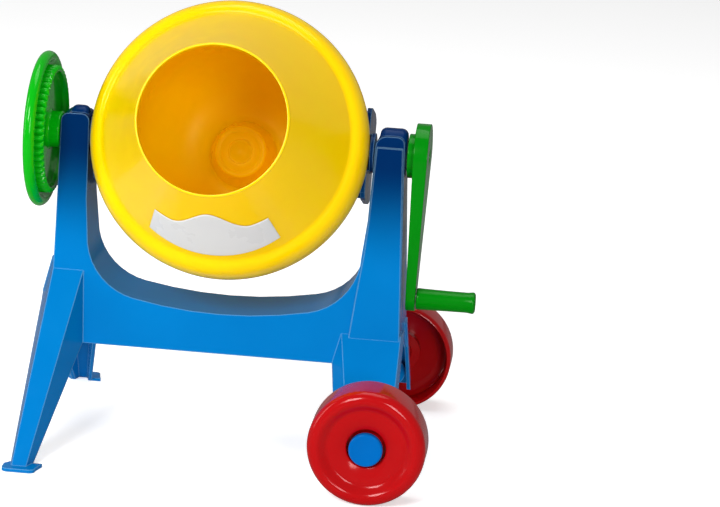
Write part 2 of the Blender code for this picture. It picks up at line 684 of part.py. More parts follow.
def make_yoke(parts, cutters, hub, mats):
    yoke = outline("yoke", [yoke_strap()], ARM_HALF, parts, hub, mats["blue"], facing="Y")
    side = [(-ARM_HALF * 0.52, BACK_Z - 6 * MM), (ARM_HALF * 0.52, BACK_Z - 6 * MM)]
    side += [(ARM_HALF, -30 * MM)] + arc((ARM_HALF - 8 * MM, -6 * MM), 8 * MM, 0, 90, 3)
    side += arc((-ARM_HALF + 8 * MM, -6 * MM), 8 * MM, 90, 180, 3) + [(-ARM_HALF, -30 * MM)]
    shape = outline("yoke_side_shape", [side], 150 * MM, cutters, facing="X")
    combine(yoke, [shape], "INTERSECT")
    added = []
    for side_x, reach, label in ((-1, -LEFT_IN - 1.0 * MM, "left"), (1, RIGHT_IN - 1.0 * MM, "right")):
        ends = sorted((side_x * DISC_IN, side_x * reach))
        added.append(rod(f"trunnion_disc_{label}", 13.5 * MM, *ends, cutters, sides=40))
        low, high = sorted((side_x * (ARM_OUT - 0.5 * MM), side_x * (DISC_IN + 0.3 * MM)))
        added.append(block(f"arm_step_{label}", (low, -12.6 * MM, -12.9 * MM), (high, 12.6 * MM, 1.9 * MM),
                           cutters))
    left_end = LEFT_OUT[0] - 0.8 * MM
    added.append(rod("trunnion_left", TRUNNION_R, left_end, -DISC_IN, cutters))
    added.append(rod("trunnion_right", TRUNNION_R, DISC_IN, RIGHT_OUT[0] + 1.4 * MM, cutters))
    added.append(block("drive_square", (left_end - 9 * MM, -KEY, -KEY), (left_end + 3 * MM, KEY, KEY),
                       cutters))
    added.append(rod("yoke_hub", 15.0 * MM, BACK_Z - 3.0 * MM, BACK_Z + 9.0 * MM, cutters, axis="Z"))
    combine(yoke, added, "UNION")
    removed = [rod("shaft_bore", SHAFT_R + RUNNING, 60 * MM, 140 * MM, cutters, sides=32),
               rod("axle_bore", AXLE_HOLE + RUNNING, BACK_Z - 20 * MM, -50 * MM, cutters, axis="Z"),
               rod("hand_screw_bore", 2.6 * MM, left_end - 20 * MM, left_end + 8 * MM, cutters, sides=24)]
    combine(yoke, removed, "DIFFERENCE")
    smooth(yoke, 30)
    return yoke


# ---------------------------------------------------------------- hand wheel

def make_hand_wheel(parts, cutters, hub, mats):
    hub_r = 12.5 * MM
    hub_end = LEFT_OUT[0] - 1.0 * MM - HAND_X
    rim = arc((HAND_R - 3.9 * MM, 3.9 * MM), 3.9 * MM, -120, 120, 6)
    profile = [(0.0, HAND_SEAT), (11.0 * MM, HAND_SEAT), (12.0 * MM, DISH - DISH_T),
               (RING_IN - 3.2 * MM, DISH - DISH_T), (RING_IN - 0.2 * MM, 2.6 * MM),
               (HAND_R - 8.7 * MM, 2.6 * MM)] + rim
    profile += [(HAND_R - 8.0 * MM, 4.9 * MM), (RING_OUT - 1.4 * MM, 4.9 * MM),
                (RING_IN + 1.3 * MM, DISH), (hub_r + 1.0 * MM, DISH), (hub_r, DISH + 1.2 * MM),
                (hub_r, hub_end - 0.8 * MM), (hub_r - 0.8 * MM, hub_end), (0.0, hub_end)]
    profile = [(r, HAND_X + w) for r, w in reversed(profile)]
    wheel = turned("hand_wheel", profile, parts, hub, mats["green"], steps=48, axis="X", closed=False)
    outer, inner = [], []
    for k in range(RIDGES * 2):
        turn = math.pi * k / RIDGES
        swell = 0.9 * MM if k % 2 else 0.0
        outer.append(((RING_OUT + swell) * math.cos(turn), (RING_OUT + swell) * math.sin(turn)))
        if k % 2:
            inner.append((RING_IN * math.cos(turn), RING_IN * math.sin(turn)))
    half = (RING_TOP - 4.0 * MM) / 2
    ring = outline("hand_ring", [outer, inner], half, cutters, facing="X")
    ring.data.transform(Matrix.Translation((HAND_X + 4.0 * MM + half, 0, 0)))
    combine(wheel, [ring], "UNION")
    key = KEY + GAP
    socket = block("hand_socket", (LEFT_OUT[0] - 11.4 * MM, -key, -key), (LEFT_OUT[0] + 6 * MM, key, key),
                   cutters)
    bore = rod("hand_bore", 3.0 * MM, HAND_X - 5 * MM, LEFT_OUT[0] - 5 * MM, cutters, sides=24)
    combine(wheel, [socket, bore], "DIFFERENCE")
    smooth(wheel, 30)
    screw("hand_screw", parts, hub, mats["steel"], HAND_X + HAND_SEAT - GAP, 2.3 * MM, 14 * MM,
          axis="X", facing=-1)


# ---------------------------------------------------------------- crank

def crank_outline(grow=0.0):
    big, small = 22.5 * MM + grow, 8.6 * MM + grow
    lean = math.degrees(math.asin((22.5 - 8.6) * MM / ARM_LONG))
    points = arc((0.0, 0.0), big, -lean, 180 + lean, 14)
    points += arc((0.0, -ARM_LONG), small, 180 + lean, 360 - lean, 8)
    return points


def pinion_outline():
    pitch = 2 * math.pi / PINION_TEETH
    tip, root = PITCH_R + 0.71 * MODULE, PITCH_R - 0.98 * MODULE
    points = []
    for tooth in range(PINION_TEETH):
        for share, radius in ((-0.26, root), (-0.11, tip), (0.11, tip), (0.26, root)):
            turn = (tooth + share) * pitch + math.pi / 2
            points.append((radius * math.cos(turn), radius * math.sin(turn)))
    return points


def make_crank(parts, cutters, swing, tilt, mats):
    thick = ARM_THICK
    arm = outline("crank_arm", [crank_outline()], thick / 2, parts, swing, mats["green"], facing="X")
    for vertex in arm.data.vertices:
        share = min(1.0, max(0.0, -vertex.co.z / ARM_LONG))
        if vertex.co.x > 0:
            vertex.co.x -= ARM_TAPER * share
        vertex.co.x += ARM_X + thick / 2
    finished(bevel(arm, 2.0 * MM, 2))
    boss = rod("crank_boss", 15.0 * MM, RIGHT_OUT[0] + 2.4 * MM, ARM_X + 2 * MM, cutters, sides=40)
    combine(arm, [boss], "UNION")
    pocket = outline("crank_pocket", [crank_outline(-2.6 * MM)], 10 * MM, cutters, facing="X")
    pocket.data.transform(Matrix.Translation((ARM_X + 3.8 * MM - 10 * MM, 0, 0)))
    keep = [rod("crank_hub_keep", 15.4 * MM, ARM_X - 30 * MM, ARM_X + 30 * MM, cutters, sides=40),
            rod("crank_pin_keep", 5.6 * MM, ARM_X - 30 * MM, ARM_X + 30 * MM, cutters, sides=32,
                offset=(0, -ARM_LONG))]
    combine(pocket, keep, "DIFFERENCE")
    screw_seat = ARM_X + thick - 3.4 * MM
    shaft_end = screw_seat - 2.4 * MM
    flat = block("crank_socket", (90 * MM, -SHAFT_FLAT - GAP, -SHAFT_R - 5 * MM),
                 (shaft_end + GAP, SHAFT_FLAT + GAP, SHAFT_R + 5 * MM), cutters)
    round_bore = rod("crank_round", SHAFT_R + GAP, 90 * MM, shaft_end + GAP, cutters, sides=32)
    combine(flat, [round_bore], "INTERSECT")
    bores = [pocket, flat,
             rod("crank_screw_bore", 2.6 * MM, shaft_end - 5 * MM, shaft_end + 20 * MM, cutters, sides=24),
             rod("crank_counterbore", 5.4 * MM, screw_seat, screw_seat + 20 * MM, cutters, sides=32),
             rod("crank_pin_bore", PIN_R + GAP, ARM_X - 5 * MM, ARM_X + 30 * MM, cutters, sides=24,
                 offset=(0, -ARM_LONG))]
    combine(arm, bores, "DIFFERENCE")
    smooth(arm, 30)

    shaft = rod("crank_shaft", SHAFT_R, REAR_R + 3.0 * MM, shaft_end, parts, swing, mats["white"], sides=32)
    head = rod("shaft_head", SHAFT_R + 1.7 * MM, REAR_R + 1.4 * MM, REAR_R + 3.2 * MM, cutters, sides=32)
    combine(shaft, [head], "UNION")
    cuts = [block(f"shaft_flat_{s}", (RIGHT_OUT[0] + 1.9 * MM, s * SHAFT_FLAT, -9 * MM),
                  (shaft_end + 3 * MM, s * (SHAFT_FLAT + 8 * MM), 9 * MM), cutters) for s in (1, -1)]
    for cut in cuts:
        cut.data.update()
        body = bmesh.new()
        body.from_mesh(cut.data)
        bmesh.ops.recalc_face_normals(body, faces=body.faces)
        body.to_mesh(cut.data)
        body.free()
    cuts.append(rod("shaft_screw_bore", 2.5 * MM, shaft_end - 15 * MM, shaft_end + 5 * MM, cutters, sides=24))
    combine(shaft, cuts, "DIFFERENCE")
    smooth(shaft, 30)

    pinion = outline("crank_pinion", [pinion_outline()], 3.4 * MM, parts, tilt, mats["white"], facing="X")
    pinion.data.transform(Matrix.Translation((CROWN_R, 0, 0)))
    collar = rod("pinion_collar", PITCH_R - 2.4 * MM, REAR_R + 4.2 * MM, ARM_OUT - ARM_T - 0.4 * MM, cutters, sides=32)
    combine(pinion, [collar], "UNION")
    combine(pinion, [rod("pinion_bore", SHAFT_R + GAP, 60 * MM, 100 * MM, cutters, sides=32)], "DIFFERENCE")
    smooth(pinion, 30)
    screw("crank_screw", parts, swing, mats["steel"], screw_seat + GAP, 2.2 * MM, 14 * MM, axis="X",
          facing=1)


def make_knob(parts, knob, mats):
    start, stop = ARM_X + ARM_THICK - ARM_TAPER + 0.5 * MM, KNOB_END
    bore = PIN_R + RUNNING
    profile = [(bore, stop - 4.0 * MM), (bore + 2.4 * MM, stop - 4.0 * MM),
               (bore + 2.4 * MM, stop - 1.0 * MM), (6.4 * MM, stop)]
    profile += arc((6.4 * MM, stop - 2.4 * MM), 2.4 * MM, 60, 0, 3)
    profile += [(7.0 * MM, stop - 12 * MM), (7.0 * MM, start + 8 * MM), (7.5 * MM, start + 1.0 * MM),
                (7.0 * MM, start), (bore, start)]
    turned("crank_knob", profile, parts, knob, mats["green"], steps=24, axis="X")


def make_pin(parts, pivot, mats):
    end = KNOB_END - 2.8 * MM
    profile = [(0.0, end), (4.6 * MM, end), (5.0 * MM, end - 0.5 * MM), (5.0 * MM, end - 1.0 * MM),
               (PIN_R, end - 1.0 * MM), (PIN_R, ARM_X + 1.0 * MM), (0.0, ARM_X + 1.0 * MM)]
    turned("knob_pin", profile, parts, pivot, mats["steel"], steps=24, axis="X", closed=False)


# ---------------------------------------------------------------- bushes, road wheels and axle

def make_bushes(parts, pivot, mats):
    inner, outer = TRUNNION_R + RUNNING, BUSH_R - GAP
    for x0, x1, label in ((LEFT_OUT[0] + 0.4 * MM, LEFT_IN - 0.4 * MM, "left"),
                          (RIGHT_IN + 0.4 * MM, RIGHT_OUT[0] - 0.4 * MM, "right")):
        profile = [(outer, x1), (outer, x0), (inner, x0), (inner, x1)]
        turned(f"trunnion_bush_{label}", profile, parts, pivot, mats["white"], steps=24, axis="X")


def wheel_profile():
    w = WHEEL_W
    r = WHEEL_R
    crest = arc((r - 6.4 * MM, 6.0 * MM), 6.4 * MM, 0, -90, 5, 6.0 * MM)
    front = [(r, w - 4.0 * MM)] + crest
    front += [(30.2 * MM, 0.5 * MM), (28.4 * MM, 1.9 * MM), (27.2 * MM, 3.6 * MM), (25.2 * MM, 4.5 * MM),
              (22.6 * MM, 4.7 * MM), (CAP_R + 1.7 * MM, 4.6 * MM), (CAP_R + 1.7 * MM, 13.0 * MM),
              (AXLE_R + RUNNING, 13.0 * MM), (AXLE_R + RUNNING, w), (AXLE_R + 4.6 * MM, w),
              (AXLE_R + 5.6 * MM, 16.0 * MM), (15.2 * MM, 15.0 * MM), (15.2 * MM, 7.8 * MM),
              (27.0 * MM, 7.8 * MM),
              (r - 6.4 * MM, 6.6 * MM), (r - 3.4 * MM, 9.0 * MM), (r - 3.2 * MM, w - 0.8 * MM),
              (r - 2.6 * MM, w)]
    front += arc((r - 3.0 * MM, w - 3.0 * MM), 3.0 * MM, 70, 20, 2)
    return front


def make_road_wheels(parts, cutters, root, mats):
    rod("wheel_axle", AXLE_R, -(WHEEL_FACE - 3.2 * MM), WHEEL_FACE - 3.2 * MM, parts, root, mats["steel"],
        axis="Y", sides=32, offset=(WHEEL_X, WHEEL_R))
    for side, label in ((-1, "front"), (1, "rear")):
        spot = empty(f"wheel_spot_{label}", parts, (WHEEL_X, side * WHEEL_FACE, WHEEL_R),
                     math.pi / 2 * side)
        spot.parent = root
        turned(f"wheel_{label}", wheel_profile(), parts, spot, mats["red"], steps=36)
        top = 0.5 * MM
        bore = AXLE_R + GAP
        cap = [(0.0, 2.8 * MM), (bore, 2.8 * MM), (bore, 12.0 * MM), (AXLE_R + 3.2 * MM, 12.0 * MM),
               (AXLE_R + 3.2 * MM, 4.4 * MM), (CAP_R, 4.4 * MM)]
        cap += arc((CAP_R - 1.4 * MM, top + 1.4 * MM), 1.4 * MM, 0, -90, 3) + [(0.0, top)]
        turned(f"hub_cap_{label}", cap, parts, spot, mats["blue"], steps=24, closed=False)


# ---------------------------------------------------------------- assembly

def main():
    clear_scene()
    parts = collection("toy_cement_mixer")
    cutters = collection("cutters")
    mats = {"blue": material("blue_plastic", BLUE), "yellow": material("yellow_plastic", YELLOW),
            "orange": material("orange_plastic", ORANGE), "green": material("green_plastic", GREEN),
            "red": material("red_plastic", RED), "steel": material("steel", STEEL, 0.3, 1.0),
            "white": material("white_plastic", WHITE, 0.35)}
    root = empty("stand_root", parts, (-CENTRE_X, 0, 0))
    pivot = empty("tilt_pivot", parts, (-CENTRE_X, 0, AXIS_H))
    tilt = empty("tilt_frame", parts, (-CENTRE_X, 0, AXIS_H), math.pi / 2 - MOUTH_UP)
    swing = empty("crank_frame", parts, (-CENTRE_X, 0, AXIS_H), CRANK_SWING)
    knob = empty("knob_frame", parts, (0, 0, -ARM_LONG))
    knob.parent = swing
    make_stand(parts, cutters, root, mats["blue"])
    make_bushes(parts, pivot, mats)
    make_yoke(parts, cutters, tilt, mats)
    make_drum(parts, tilt, mats)
    make_hand_wheel(parts, cutters, tilt, mats)
    make_crank(parts, cutters, swing, tilt, mats)
    make_knob(parts, knob, mats)
    make_pin(parts, knob, mats)
    make_road_wheels(parts, cutters, root, mats)


main()
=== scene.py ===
"""Looks of the toy cement mixer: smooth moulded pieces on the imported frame, gloss plastic, white studio."""
import json
import math

import bmesh
import bpy
from mathutils import Matrix, Vector

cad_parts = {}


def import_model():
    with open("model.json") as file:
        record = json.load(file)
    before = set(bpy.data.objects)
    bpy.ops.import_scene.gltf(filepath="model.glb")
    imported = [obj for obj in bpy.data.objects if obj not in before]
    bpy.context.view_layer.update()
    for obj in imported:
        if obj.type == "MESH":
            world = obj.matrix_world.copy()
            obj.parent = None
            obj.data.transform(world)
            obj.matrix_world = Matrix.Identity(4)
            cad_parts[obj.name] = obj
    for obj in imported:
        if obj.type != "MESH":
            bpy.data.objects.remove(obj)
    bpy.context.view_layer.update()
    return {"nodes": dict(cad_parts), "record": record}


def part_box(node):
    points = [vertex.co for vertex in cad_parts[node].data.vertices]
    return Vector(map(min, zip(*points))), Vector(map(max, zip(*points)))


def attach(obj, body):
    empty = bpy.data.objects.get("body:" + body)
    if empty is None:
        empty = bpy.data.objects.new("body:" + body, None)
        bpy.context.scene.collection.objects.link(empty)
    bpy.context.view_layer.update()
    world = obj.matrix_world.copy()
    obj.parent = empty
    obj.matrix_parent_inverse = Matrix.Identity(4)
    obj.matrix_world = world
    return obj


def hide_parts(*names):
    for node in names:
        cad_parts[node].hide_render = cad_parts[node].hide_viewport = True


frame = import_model()

MM = 0.001
JOINTS = {joint["name"]: joint for joint in frame["record"]["behaviour"]["joints"]}
PIVOT = Vector(JOINTS["tilt"]["pos_m"])
DRUM_AXIS = Vector(JOINTS["drum_spin"]["axis"]).normalized()
MOUTH_UP = math.asin(DRUM_AXIS.z)
DRUM_SPACE = Matrix.Translation(PIVOT) @ Matrix.Rotation(math.pi / 2 - MOUTH_UP, 4, "X")
WELD = 0.000004  # vertices nearer than this, in metres, are one
COPLANAR = math.radians(0.6)


# ---------------------------------------------------------------- shapes

def put(name, mesh, body, mat, slot, *nodes):
    """A new piece that rides on a body and stands for CAD nodes."""
    item = bpy.data.objects.new(name, mesh)
    bpy.context.scene.collection.objects.link(item)
    mesh.materials.clear()
    mesh.materials.append(mat)
    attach(item, body)
    if nodes:
        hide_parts(*nodes)
    return item


def arc(centre, radius, start, stop, count, radius_b=None):
    """Points from one angle to another, in degrees, on a circle or on an ellipse of height radius_b."""
    other = radius if radius_b is None else radius_b
    points = []
    for step in range(count + 1):
        turn = math.radians(start + (stop - start) * step / count)
        points.append((centre[0] + radius * math.cos(turn), centre[1] + other * math.sin(turn)))
    return points


def rounded(profile, radius, count=4, closed=True):
    """The profile with each corner replaced by a small curve."""
    made = []
    total = len(profile)
    for index, point in enumerate(profile):
        here = Vector(point)
        if not closed and index in (0, total - 1):
            made.append(tuple(here))
            continue
        before = Vector(profile[index - 1]) - here
        after = Vector(profile[(index + 1) % total]) - here
        reach = min(radius, before.length * 0.45, after.length * 0.45)
        bend = before.angle(after.copy()) if before.length and after.length else math.pi
        if math.pi - bend < math.radians(12):
            made.append(tuple(here))
            continue
        a = here + before.normalized() * reach
        b = here + after.normalized() * reach
        for step in range(count + 1):
            t = step / count
            made.append(tuple(a * (1 - t) ** 2 + here * 2 * t * (1 - t) + b * t ** 2))
    return made


def lathe(name, profile, space, steps=144, closed=True, sharp=50):
    """A smooth solid of (radius, height) points turned about local Z and placed by a matrix."""
    mesh = bpy.data.meshes.new(name)
    edges = [(i, i + 1) for i in range(len(profile) - 1)]
    if closed:
        edges.append((len(profile) - 1, 0))
    mesh.from_pydata([(r, 0.0, z) for r, z in profile], edges, [])
    body = bmesh.new()
    body.from_mesh(mesh)
    bmesh.ops.spin(body, geom=body.verts[:] + body.edges[:], cent=(0, 0, 0), axis=(0, 0, 1),
                   angle=2 * math.pi, steps=steps, use_merge=True)
    bmesh.ops.remove_doubles(body, verts=body.verts, dist=WELD)
    bmesh.ops.recalc_face_normals(body, faces=body.faces)
    if body.calc_volume(signed=True) < 0:
        bmesh.ops.reverse_faces(body, faces=body.faces)
    bmesh.ops.transform(body, matrix=space, verts=body.verts)
    body.to_mesh(mesh)
    body.free()
    mesh.shade_smooth()
    mesh.set_sharp_from_angle(angle=math.radians(sharp))
    return mesh


def refined(node, body_name, width, mat, slot, angle=28, segments=3):
    """A CAD piece with its flat faces joined up and its edges rounded off."""
    source = frame["nodes"][node]
    body = bmesh.new()
    body.from_mesh(source.data)
    bmesh.ops.transform(body, matrix=source.matrix_world, verts=body.verts)
    bmesh.ops.remove_doubles(body, verts=body.verts, dist=WELD)
    bmesh.ops.dissolve_limit(body, angle_limit=COPLANAR, verts=body.verts, edges=body.edges)
    mesh = bpy.data.meshes.new(f"{node}_skin")
    body.to_mesh(mesh)
    body.free()
    mesh.shade_smooth()
    mesh.set_sharp_from_angle(angle=math.radians(180))
    item = put(f"{node}_skin", mesh, body_name, mat, slot, node)
    edge = item.modifiers.new("Edges", "BEVEL")
    edge.width = width
    edge.segments = segments
    edge.limit_method = "ANGLE"
    edge.angle_limit = math.radians(angle)
    edge.harden_normals = False
    edge.use_clamp_overlap = True
    edge.miter_outer = "MITER_ARC"
    normals = item.modifiers.new("Shading", "WEIGHTED_NORMAL")
    normals.keep_sharp = False
    normals.weight = 60
    return item


# ---------------------------------------------------------------- materials

PLASTIC_IOR = 1.42
GLOW_REACH = (1.0, 0.72, 0.06)  # how far red, green and blue light spread under the skin
GLOW_DEPTH = 0.006
# Painted highlights on edges: where they start, where they are full, and how strong.
PAINTED_EDGE_STARTS, PAINTED_EDGE_FULL, PAINTED_EDGE_STRENGTH = 0.985, 0.88, 0.36  # cosines of the normal's turn, and the mix


def linear(red, green, blue):
    """A colour on screen, 0 to 255, as the shader wants it."""
    made = []
    for level in (red, green, blue):
        level /= 255
        made.append(level / 12.92 if level <= 0.04045 else ((level + 0.055) / 1.055) ** 2.4)
    return (*made, 1.0)


def noise(nodes, scale, detail):
    """A noise texture of a scale and a detail."""
    made = nodes.new("ShaderNodeTexNoise")
    made.inputs["Scale"].default_value = scale
    made.inputs["Detail"].default_value = detail
    return made


def mapped(nodes, from_low, from_high, to_low=0.0, to_high=1.0):
    """A node that maps one range of values onto another."""
    made = nodes.new("ShaderNodeMapRange")
    made.inputs["From Min"].default_value = from_low
    made.inputs["From Max"].default_value = from_high
    made.inputs["To Min"].default_value = to_low
    made.inputs["To Max"].default_value = to_high
    return made


def painted_shade_by_height(tree, place, below, low, high, above):
    """The colour below, changing smoothly to the colour above between two heights: painted shade."""
    nodes, links = tree.nodes, tree.links
    split = nodes.new("ShaderNodeSeparateXYZ")
    height = mapped(nodes, low, high)
    height.interpolation_type = "SMOOTHSTEP"
    blend = nodes.new("ShaderNodeMixRGB")
    blend.inputs["Color2"].default_value = above
    links.new(place.outputs["Object"], split.inputs["Vector"])
    links.new(split.outputs["Z"], height.inputs["Value"])
    links.new(height.outputs["Result"], blend.inputs["Fac"])
    links.new(below, blend.inputs["Color1"])
    return blend.outputs["Color"]


def paint_edge_highlights(tree, soft, under, colour):
    """Painted highlights: a paler colour where the softened normal turns away from the true one."""
    nodes, links = tree.nodes, tree.links
    flat = nodes.new("ShaderNodeNewGeometry")
    turn = nodes.new("ShaderNodeVectorMath")
    turn.operation = "DOT_PRODUCT"
    painted_highlight_mask = mapped(nodes, PAINTED_EDGE_STARTS, PAINTED_EDGE_FULL, 0.0, PAINTED_EDGE_STRENGTH)
    pale = nodes.new("ShaderNodeMixRGB")
    pale.inputs["Color2"].default_value = colour
    links.new(soft.outputs["Normal"], turn.inputs[0])
    links.new(flat.outputs["Normal"], turn.inputs[1])
    links.new(turn.outputs["Value"], painted_highlight_mask.inputs["Value"])
    links.new(painted_highlight_mask.outputs["Result"], pale.inputs["Fac"])
    links.new(under, pale.inputs["Color1"])
    return pale.outputs["Color"]


def plastic(name, colour, deep, rough=0.16, grain=0.02, specular=0.3, glow=0.0, edge=0.0, thick=None,
            painted_edge_colour=None, tint=0.8, lit=0.0):
    """Moulded gloss plastic: faint clouding, a fine orange-peel skin and rubbed patches.

    glow is subsurface scattering, lit is emission, which paints a glow, edge softens normals over a radius,
    thick is (low, high, colour) of a blend with height that paints shade, and lines is the colour of painted
    highlights on edges, which need edge.
    """
    made = bpy.data.materials.new(name)
    made.use_nodes = True
    nodes, links = made.node_tree.nodes, made.node_tree.links
    shader = nodes["Principled BSDF"]
    shader.inputs["IOR"].default_value = PLASTIC_IOR
    shader.inputs["Specular Tint"].default_value = [1 - tint + tint * level for level in colour[:3]] + [1.0]
    shader.inputs["Specular IOR Level"].default_value = specular
    # Emission, when lit is above nought, is a painted glow in the surface's own colour.
    shader.inputs["Emission Color"].default_value = colour
    shader.inputs["Emission Strength"].default_value = lit
    if glow:
        shader.inputs["Subsurface Weight"].default_value = glow
        shader.inputs["Subsurface Radius"].default_value = GLOW_REACH
        shader.inputs["Subsurface Scale"].default_value = GLOW_DEPTH
    place = nodes.new("ShaderNodeTexCoord")
    cloud = noise(nodes, 14.0, 4.0)
    tone = nodes.new("ShaderNodeValToRGB")
    for stop, position, shade in zip(tone.color_ramp.elements, (0.25, 0.75), (deep, colour)):
        stop.position = position
        stop.color = shade
    rubbed = noise(nodes, 55.0, 6.0)
    gloss = mapped(nodes, 0.35, 0.75, rough * 0.8, rough * 1.5)
    peel = noise(nodes, 420.0, 2.0)
    bump = nodes.new("ShaderNodeBump")
    bump.inputs["Strength"].default_value = grain
    bump.inputs["Distance"].default_value = 0.001
    for texture in (cloud, rubbed, peel):
        links.new(place.outputs["Object"], texture.inputs["Vector"])
    links.new(cloud.outputs["Fac"], tone.inputs["Fac"])
    links.new(rubbed.outputs["Fac"], gloss.inputs["Value"])
    links.new(gloss.outputs["Result"], shader.inputs["Roughness"])
    links.new(peel.outputs["Fac"], bump.inputs["Height"])
    links.new(bump.outputs["Normal"], shader.inputs["Normal"])
    base = tone.outputs["Color"]
    # Painted shade: the colour darkens towards a given colour between two heights.
    if thick:
        base = painted_shade_by_height(made.node_tree, place, base, *thick)
    if edge:
        soft = nodes.new("ShaderNodeBevel")
        soft.samples = 6
        soft.inputs["Radius"].default_value = edge
        links.new(soft.outputs["Normal"], bump.inputs["Normal"])
    # Painted highlights: the colour turns paler along edges, where the softened normal leaves the true one.
    if painted_edge_colour:
        base = paint_edge_highlights(made.node_tree, soft, base, painted_edge_colour)
    links.new(base, shader.inputs["Base Color"])
    return made


def metal(name, colour, rough=0.3):
    """Plated steel with a fine turned grain."""
    made = plastic(name, colour, tuple(level * 0.85 for level in colour[:3]) + (1.0,), rough, 0.05, 0.5)
    made.node_tree.nodes["Principled BSDF"].inputs["Metallic"].default_value = 1.0
    return made


# The blue has painted shade, darker towards the top from 0.125 m to 0.205 m high, and painted highlights,
# paler along rounded edges.
BLUE = plastic("blue_gloss_painted_shade_and_highlights", linear(0, 116, 188), linear(0, 110, 181), specular=0.22, edge=1.3 * MM,
               thick=(0.125, 0.205, linear(0, 38, 88)), painted_edge_colour=linear(150, 205, 240))
YELLOW = plastic("yellow_gloss", linear(255, 208, 0), linear(255, 199, 0), 0.18, specular=0.4, glow=0.55,
                 tint=0.5)
# The emission is a painted glow that lightens the rear shell, seen inside the drum.
AMBER = plastic("amber_gloss_painted_glow", linear(240, 192, 0), linear(236, 184, 0), 0.3, specular=0.15, glow=0.6,
                lit=0.12)
GREEN = plastic("green_gloss", linear(0, 126, 10), linear(0, 118, 8), specular=0.3, edge=1.0 * MM, tint=0.6)
# Painted light: a lighter copy of the green plastic, for the hand wheel alone.
GREEN_PAINTED_LIGHT = plastic("green_gloss_painted_light", linear(2, 168, 14), linear(0, 160, 12), 0.13, specular=0.5, tint=0.4)
RED = plastic("red_gloss", linear(172, 8, 12), linear(164, 6, 10), 0.12, specular=0.5, tint=0.5)
CAP = plastic("cap_gloss", linear(0, 96, 172), linear(0, 90, 165), specular=0.22)
PALE = plastic("pale_satin", linear(226, 226, 222), linear(216, 216, 212), 0.35, 0.01)
BADGE = plastic("badge_satin", linear(214, 214, 212), linear(206, 206, 205), 0.28, 0.004)
STEEL = metal("plated_steel", linear(205, 205, 208))


# ---------------------------------------------------------------- drum

RIM_R = 94.5 * MM
MOUTH_R = 48.2 * MM
MOUTH_Z = 101.4 * MM
WALL = 2.2 * MM
CREASE = (83.6 * MM, 32.6 * MM)
FLANGE_Z = 13.4 * MM
BOTTOM_Z = -63.1 * MM
BOSS_TOP = -44.0 * MM
BOSS_R = 18.4 * MM
BOSS_BASE_R = 23.4 * MM
BAND = (84.0 * MM, 14.0 * MM)
BAND_HEIGHT = 18.0 * MM
FRONT_EDGE_Z = 4.8 * MM
BOWL_R = 73.1 * MM
BOWL_Z = -20.0 * MM
BADGE_HALF = math.radians(33.5)
BADGE_LOW, BADGE_LOW_CURVE = 38.0 * MM, 4.0 * MM
BADGE_CROWN, BADGE_ARCH = 65.0 * MM, 17.0 * MM


def drum_front():
    """Front shell: rolled lip, cone, crease and the rounded band down to the rim."""
    lip = 1.1 * MM
    outer = arc((MOUTH_R + lip, MOUTH_Z - lip), lip, 110, -25, 6)
    outer += [(MOUTH_R + 2.5 * MM, MOUTH_Z - 2.9 * MM), (CREASE[0] - 0.7 * MM, CREASE[1] + 1.3 * MM), CREASE]
    band = arc(BAND, RIM_R - BAND[0], 88, 0, 16, BAND_HEIGHT)
    outer += band[1:]
    outer.append((RIM_R - 0.3 * MM, FRONT_EDGE_Z))
    inner = [(RIM_R - WALL - 0.3 * MM, FRONT_EDGE_Z), (RIM_R - WALL, BAND[1])]
    inner += [(r - WALL * 0.7, z - WALL * 0.6) for r, z in reversed(band[1:-1])]
    inner += [(CREASE[0] - WALL, CREASE[1] - 0.8 * MM), (MOUTH_R + 0.1 * MM, MOUTH_Z - 3.2 * MM)]
    mesh = lathe("drum_front_skin", outer + inner, DRUM_SPACE, 160, sharp=60)
    return put("drum_front_skin", mesh, "drum", YELLOW, "yellow_plastic", "drum_front")


def drum_rear():
    """Rear shell: bowl with a flange behind the rim and a raised boss, hollow behind, on the axle."""
    bowl_flat, inside_flat = 26.0 * MM, 25.0 * MM
    bowl = arc((bowl_flat, BOWL_Z), BOWL_R - bowl_flat, 0, -90, 18, BOWL_Z - BOTTOM_Z)
    inside = arc((inside_flat, BOWL_Z), BOWL_R - WALL - inside_flat, -90, 0, 18, BOWL_Z - BOTTOM_Z - WALL)
    top, floor_z, seat_r = FLANGE_Z + WALL, BOTTOM_Z + WALL, RIM_R - WALL - 1.1 * MM
    points = [(0.0, BOSS_TOP), (5.6 * MM, BOSS_TOP), (6.2 * MM, BOSS_TOP - 0.5 * MM),
              (8.2 * MM, BOSS_TOP - 0.5 * MM), (9.0 * MM, BOSS_TOP + 0.5 * MM),
              (13.0 * MM, BOSS_TOP + 0.5 * MM), (13.6 * MM, BOSS_TOP + 0.1 * MM),
              (14.6 * MM, BOSS_TOP + 0.1 * MM), (15.2 * MM, BOSS_TOP + 0.5 * MM)]
    points += arc((BOSS_R - 1.8 * MM, BOSS_TOP - 1.3 * MM), 1.8 * MM, 85, 10, 6)
    points += [(BOSS_BASE_R - 0.6 * MM, floor_z + 1.8 * MM), (BOSS_BASE_R, floor_z + 0.4 * MM),
               (BOSS_BASE_R + 0.8 * MM, floor_z)]
    points += inside[1:]
    points += [(BOWL_R - WALL, top), (seat_r, top), (seat_r, FLANGE_Z), (BOWL_R, FLANGE_Z)]
    points += bowl
    tube, bore, roof = 10.5 * MM, 8.3 * MM, BOSS_TOP - 2.6 * MM
    points += [(BOSS_BASE_R - WALL, BOTTOM_Z), (BOSS_R - WALL, roof), (tube, roof), (tube, BOTTOM_Z),
               (bore, BOTTOM_Z), (bore, roof), (0.0, roof)]
    mesh = lathe("drum_rear_skin", points, DRUM_SPACE, 128, closed=False, sharp=40)
    return put("drum_rear_skin", mesh, "drum", AMBER, "orange_plastic", "drum_rear")


